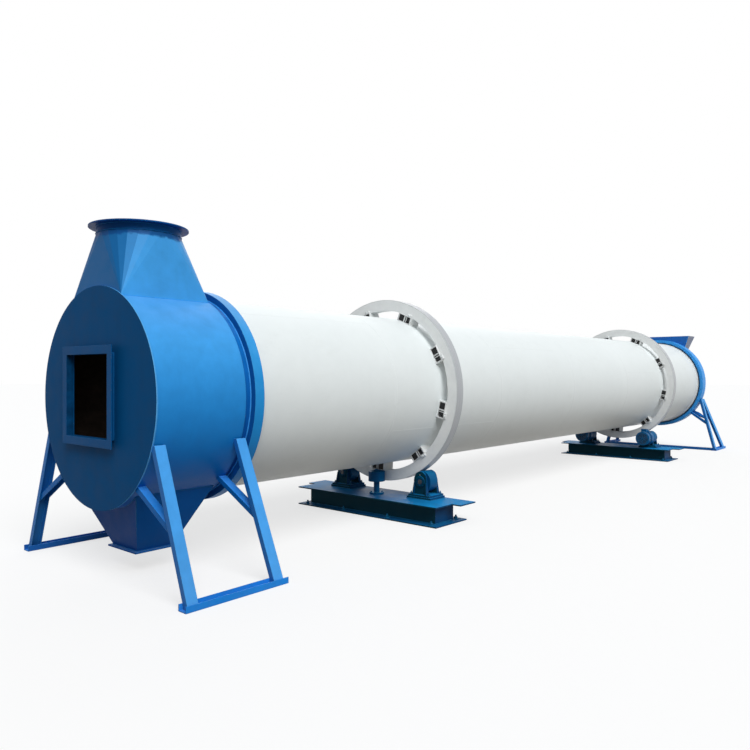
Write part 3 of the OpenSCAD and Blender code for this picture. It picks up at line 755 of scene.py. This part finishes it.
def pad_details(which):
    """Each pad's block, slit and wedge, black as painted shade in its hollow windows, its rib and
    stop blocks, its bolts, and its welds to the drum.
    """
    tyre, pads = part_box(which + "_tyre"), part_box(which + "_tyre_pads")
    at = Vector((middle(tyre)[0], 0, AXIS_Z))
    reach = (pads[1].x - pads[0].x) / 2 - 0.004
    low, high = DRUM_R + PAD_WALL, tyre[1].y - TYRE_HEIGHT - PAD_WALL
    beside_tyre = (tyre[1].x - tyre[0].x) / 2 + 0.0006
    dark, light, welds, bolts = Shape(), Shape(), Shape(), Shape()
    for i in range(PADS):
        # the fourth pad is fitted the other way round
        way = -1 if i == 3 else 1
        c, s = polar(1.0, PAD_START + 360 * i / PADS)
        axes = (Vector((way, 0, 0)), Vector((0, c, s)) * way, Vector((0, -s, c)))

        def spot(x, y, z):
            return at + axes[0] * x + axes[1] * y + axes[2] * z

        def on_drum(x, y):
            return spot(x, y, math.sqrt((DRUM_R + 0.001) ** 2 - y * y))

        # painted shade: a black block and slit where the pad's windows are hollow and in shade
        chamfered(dark, (-reach, 0.008, low), (reach, 0.071, high), 0.002, axes, at)
        chamfered(dark, (-reach, -0.015, low), (reach, -0.008, high), 0.001, axes, at)
        chamfered(light, (-reach + 0.001, -0.025, low), (reach - 0.001, -0.016, high), 0.002,
                  axes, at)
        wedge(dark, reach - 0.002, -0.027, -0.070, low, high, spot)
        for x in (-1, 1):
            x1, x2 = sorted((x * beside_tyre, x * (reach + 0.003)))
            chamfered(light, (x1, -0.078, high + 0.005), (x2, -0.022, high + 0.031), 0.003,
                      axes, at)
        for x in (-reach - 0.005, reach + 0.005):
            bead(welds, [on_drum(x, PAD_HALF * (k / 4 - 1)) for k in range(9)], 0.0045)
        for y in (-PAD_HALF - 0.0005, PAD_HALF + 0.0005):
            bead(welds, [on_drum(-reach, y), on_drum(reach, y)], 0.0045)
        for x in (-1, 1):
            hex_bolt(bolts, spot(x * (reach + 0.003), -0.050, high + 0.018), axes[0] * x, 0.013,
                     washer=False)
    dark.piece(which + "_pad_shade_blocks", "shade_black", "drum", "drum_white")
    light.piece(which + "_pad_keepers", "pads", "drum", "drum_white")
    welds.piece(which + "_pad_welds", "weld_white", "drum", "drum_white")
    bolts.piece(which + "_pad_bolts", "weld_white", "drum", "drum_white")


# ---- roller stations ----
def bearing_cover(covers, grease, x, y, z, side):
    """The cover round a shaft, with its bolts and grease nipple."""
    turned(covers, (x, y, z), (side, 0, 0),
           [(0.032, 0.0), (0.057, 0.0), (0.057, 0.006), (0.055, 0.009), (0.043, 0.010),
            (0.040, 0.013), (0.034, 0.013), (0.032, 0.011)], 64, closed=True)
    for k in range(4):
        dy, dz = polar(0.049, 45 + 90 * k)
        hex_bolt(covers, (x + side * 0.009, y + dy, z + dz), (side, 0, 0), 0.010, washer=False)
    disc(grease, (x + side * 0.002, y, z + 0.066), (side, 0, 0.4), 0.004, 0.011, 12, edge=0.0015)


def station_details(which, sole):
    tyre_x = middle(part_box(which + "_tyre"))[0]
    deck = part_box(which + "_station_deck")
    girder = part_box(which + "_station_girder")
    bolts, welds, covers, grease = Shape(), Shape(), Shape(), Shape()
    # anchor bolts through the sole
    for x in (sole[0].x + 0.052, sole[1].x - 0.052):
        for share in (-0.90, -0.32, 0.32, 0.90):
            hex_bolt(bolts, (x, share * sole[1].y, sole[1].z), (0, 0, 1), 0.030, stud=0.016)
    # girder to sole and deck
    (x1, y1, z1), (x2, y2, z2) = girder
    heights = (z1 + 0.001, z2 - 0.001)
    for x in (x1, x2):
        for z in heights:
            bead(welds, [(x, y1, z), (x, y2, z)], 0.005)
    for y in (y1, y2):
        for z in heights:
            bead(welds, [(x1, y, z), (x2, y, z)], 0.005)
    foot_z = deck[1].z + FOOT_HEIGHT
    faces = (UPRIGHT[0] - 0.0015, UPRIGHT[1] + 0.0015)
    for hand in ("right", "left"):
        _, y, z = middle(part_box(which + "_roller_" + hand))
        for dx in (-0.092, 0.092):
            for dy in (-0.111, 0.111):
                hex_bolt(bolts, (tyre_x + dx, y + dy, foot_z), (0, 0, 1), 0.020, stud=0.014)
        # each foot plate to the one below it, and the uprights to the upper one
        for dx, dy, dz, r in ((0.122, 0.146, 0.001, 0.004), (0.116, 0.132, 0.021, 0.003)):
            bead(welds, [(tyre_x + px, y + py, deck[1].z + dz)
                         for px, py in corners(-dx, dx, -dy, dy)], r, closed=True)
        for dx in (-faces[1], -faces[0], faces[0], faces[1]):
            bead(welds, [(tyre_x + dx, y + dy, foot_z + 0.001) for dy in (-0.086, 0.086)], 0.004)
        # at the feed station a gearmotor stands in front of each roller
        for side in ((1,) if which == "feed" else (-1, 1)):
            bearing_cover(covers, grease, tyre_x + side * UPRIGHT[1], y, z, side)
    bolts.piece(which + "_station_bolts", "bolt_blue", "frame", "station_blue")
    welds.piece(which + "_station_welds", "weld_teal", "frame", "station_blue")
    covers.piece(which + "_bearing_covers", "station", "frame", "station_blue")
    grease.piece(which + "_grease_nipples", "steel", "frame", "station_blue")


def roller_details():
    """The end of each shaft: a keeper plate with two bolts, so that its turning shows."""
    for which in ("discharge", "feed"):
        for hand in ("right", "left"):
            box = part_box(which + "_roller_" + hand)
            _, y, z = middle(box)
            s = Shape()
            ends = ((box[0].x, -1), (box[1].x, 1))
            for x, side in (ends[1:] if which == "feed" else ends):
                turned(s, (x, y, z), (side, 0, 0),
                       [(0, 0), (0.024, 0), (0.024, 0.003), (0.022, 0.005), (0, 0.005)], 32)
                for dy in (-0.012, 0.012):
                    hex_bolt(s, (x + side * 0.005, y + dy, z), (side, 0, 0), 0.010, washer=False)
            s.piece(which + "_shaft_end_" + hand, "dark_steel", which + "_roller_" + hand,
                    "station_blue")


def thrust_details():
    low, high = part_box("thrust_roller_pin")
    cx, cy, _ = middle((low, high))
    foot_z = low.z + 0.015
    s = Shape()
    for k in range(4):
        dx, dy = polar(0.055, 45 + 90 * k)
        hex_bolt(s, (cx + dx, cy + dy, foot_z), (0, 0, 1), 0.016)
    hex_bolt(s, (cx, cy, high.z), (0, 0, 1), 0.024, washer=False)
    bead(s, flat_ring(cx, cy, foot_z + 0.001, 0.031, 40), 0.004, closed=True)
    s.piece("thrust_pin_fixings", "bolt_blue", "frame", "station_blue")


def motor_details(hand):
    low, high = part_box("gearmotor_" + hand)
    _, y, z = middle((low, high))
    centre = (0, y, z)
    s, dark, bolts = Shape(), Shape(), Shape()
    # cooling fins, left out under the terminal box
    fins_x = (low.x + 0.060, high.x - 0.116)
    fins = 28
    for k in range(fins):
        if abs(360 * k / fins - 90) >= 20:
            chamfered(s, (fins_x[0], -0.0018, 0.095), (fins_x[1], 0.0018, 0.1095), 0.0008,
                      spokes(360 * k / fins), centre)
    # terminal box with its lid, its screws and its gland
    mid = (fins_x[0] + fins_x[1]) / 2
    lid = z + 0.142
    chamfered(s, (mid - 0.040, y - 0.045, z + 0.090), (mid + 0.040, y + 0.045, lid), 0.005)
    chamfered(s, (mid - 0.043, y - 0.048, lid), (mid + 0.043, y + 0.048, lid + 0.009), 0.003)
    for dx in (-0.034, 0.034):
        for dy in (-0.039, 0.039):
            disc(bolts, (mid + dx, y + dy, lid + 0.009), (0, 0, 1), 0.0045, 0.003, 16, edge=0.001)
    side = -1 if hand == "right" else 1
    turned(s, (mid, y + side * 0.045, z + 0.116), (0, side, 0),
           [(0.0, 0.0), (0.015, 0.0), (0.015, 0.012), (0.011, 0.014), (0.011, 0.026),
            (0.007, 0.030), (0.0, 0.030)], 24)
    # both flanges of the gear case, bolts round the one at the motor, and the plugs between
    motor_flange = high.x - 0.118
    turned(s, (high.x - 0.014, y, z), (1, 0, 0),
           [(0.100, 0.0), (0.111, 0.0), (0.1155, 0.003), (0.1155, 0.011), (0.113, 0.0135),
            (0.100, 0.0135)], 96, closed=True)
    turned(s, (motor_flange, y, z), (1, 0, 0),
           [(0.096, 0.0), (0.108, 0.0), (0.1125, 0.003), (0.1125, 0.008), (0.096, 0.008)], 96,
           closed=True)
    for k in range(8):
        dy, dz = polar(0.103, 22.5 + 45 * k)
        hex_bolt(bolts, (motor_flange, y + dy, z + dz), (-1, 0, 0), 0.010, washer=False)
    for degrees in (60, 120, 250):
        out = spokes(degrees)[2]
        hex_bolt(bolts, Vector((high.x - 0.060, y, z)) + out * 0.111, out, 0.016)
    # the cowl's grille: a black field of painted shade behind rings, spokes and a hub
    cowl = (low.x, y, z)
    disc(dark, cowl, (-1, 0, 0), 0.092, 0.0012, 64)
    for r in (0.020, 0.034, 0.048, 0.062, 0.076, 0.090):
        turned(s, cowl, (-1, 0, 0),
               [(r - 0.0035, 0.0), (r + 0.0035, 0.0), (r + 0.0030, 0.0035), (r - 0.0030, 0.0035)],
               64, closed=True)
    disc(s, cowl, (-1, 0, 0), 0.013, 0.0040, 32, edge=0.001)
    for k in range(6):
        chamfered(s, (-0.0035, -0.0035, 0.010), (0.0, 0.0035, 0.095), 0.001, spokes(60 * k + 30),
                  cowl)
    s.piece("gearmotor_fittings_" + hand, "motor", "frame", "motor_blue")
    dark.piece("gearmotor_fan_shade_field_" + hand, "shade_black", "frame", "motor_blue")
    bolts.piece("gearmotor_bolts_" + hand, "dark_steel", "frame", "motor_blue")


# ---- feed hood ----
def feed_details():
    face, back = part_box("feed_hood_face"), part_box("feed_hood_end_plate")
    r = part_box("feed_hood_shell")[1].y
    s, packing = Shape(), Shape()
    for x in (face[1].x, back[0].x):
        bead(s, ring_path(x, r - 0.002), 0.004, closed=True)
    x = back[1].x + 0.001
    for side in (-1, 1):
        bead(s, [(x, side * 0.286, AXIS_Z + 0.146),
                 (x, side * CHUTE[1].y * 0.99, CHUTE[1].z - 0.006)], 0.004)
    s.piece("feed_hood_welds", "weld_blue", "frame", "hood_blue")
    bead(packing, ring_path(face[0].x + 0.003, r - 0.050, steps=240), 0.004, closed=True, sides=8,
         step=0.02)
    packing.piece("feed_seal_packing", "gap", "frame", "hood_blue")
    ring_of_bolts(face[0].x, r - 0.020, -1, 0.014, "feed_face_bolts")


hood_welds()
hopper_welds()
opening_welds()
seal_details()
drum_seams()
drum_end_bands()
for tyre_name in ("discharge", "feed"):
    pad_details(tyre_name)
for station_name, station_sole in STATIONS:
    station_details(station_name, station_sole)
roller_details()
thrust_details()
for motor_hand in ("right", "left"):
    motor_details(motor_hand)
feed_details()

# ---- camera ----
CAM_AT = (-8.3926, -4.6554, 1.4284)
YAW, PITCH, ROLL = 40.8982, -0.1181, 0.0538   # degrees: from +X to +Y, up, tilt of the picture
FOCAL = 689.9201 / 750                         # in picture widths
SENSOR = 36.0


def make_camera():
    cam = bpy.data.cameras.new("camera")
    obj = bpy.data.objects.new("camera", cam)
    scene.collection.objects.link(obj)
    yaw, pitch, roll = (math.radians(a) for a in (YAW, PITCH, ROLL))
    forward = Vector((math.cos(yaw) * math.cos(pitch), math.sin(yaw) * math.cos(pitch),
                      math.sin(pitch)))
    right = Vector((math.sin(yaw), -math.cos(yaw), 0.0))
    up = right.cross(forward)
    tilted_right = right * math.cos(roll) + up * math.sin(roll)
    tilted_up = -right * math.sin(roll) + up * math.cos(roll)
    turn = Matrix((tilted_right, tilted_up, -forward)).transposed()
    obj.matrix_world = Matrix.Translation(CAM_AT) @ turn.to_4x4()
    cam.sensor_width = SENSOR
    cam.lens = SENSOR * FOCAL
    cam.clip_end = 200.0
    scene.camera = obj


# ---- floor, background and lamps ----
def background_rays(n):
    """1 for rays that show the background: from the camera, off gloss or through glass."""
    path = n.put("ShaderNodeLightPath").node.outputs
    return n.math("MAXIMUM", path["Is Camera Ray"],
                  n.math("MAXIMUM", path["Is Glossy Ray"], path["Is Transmission Ray"]))


def make_floor(size=90.0):
    mesh = bpy.data.meshes.new("floor")
    mesh.from_pydata([(x, y, 0) for x, y in corners(-size, size, -size, size)], [],
                     [(0, 1, 2, 3)])
    obj = bpy.data.objects.new("floor", mesh)
    scene.collection.objects.link(obj)
    material = bpy.data.materials.new("floor")
    n = Nodes(material)
    seen = background_rays(n)
    # what the light meets is warm ground; what the eye meets is nearly white, and takes shadows
    tone = n.mix(seen, (0.285, 0.262, 0.235, 1), (0.34, 0.34, 0.34, 1))
    diffuse = n.put("ShaderNodeBsdfDiffuse", {"Color": tone})
    glow = n.put("ShaderNodeEmission",
                 {"Color": (1, 1, 1, 1), "Strength": n.math("MULTIPLY", seen, 0.66)})
    n.finish(n.put("ShaderNodeAddShader", {0: diffuse, 1: glow}))
    mesh.materials.append(material)


def make_world():
    world = bpy.data.worlds.new("world")
    scene.world = world
    n = Nodes(world)
    sky = n.put("ShaderNodeBackground", {"Color": (0.93, 0.97, 1.0, 1), "Strength": 0.30})
    white = n.put("ShaderNodeBackground", {"Color": (1, 1, 1, 1), "Strength": 1.0})
    n.finish(n.put("ShaderNodeMixShader", {0: background_rays(n), 1: sky, 2: white}),
             "ShaderNodeOutputWorld")


def sun(name, toward, strength, angle):
    """A soft lamp; toward points from the object to the lamp."""
    lamp = bpy.data.lights.new(name, "SUN")
    lamp.energy = strength
    lamp.angle = math.radians(angle)
    obj = bpy.data.objects.new(name, lamp)
    scene.collection.objects.link(obj)
    obj.rotation_euler = Vector(toward).to_track_quat("Z", "Y").to_euler()


make_camera()
make_floor()
make_world()
sun("key", (-0.30, -0.64, 0.72), 2.55, 40)
sun("fill", (0.60, 0.75, 0.40), 0.7, 60)
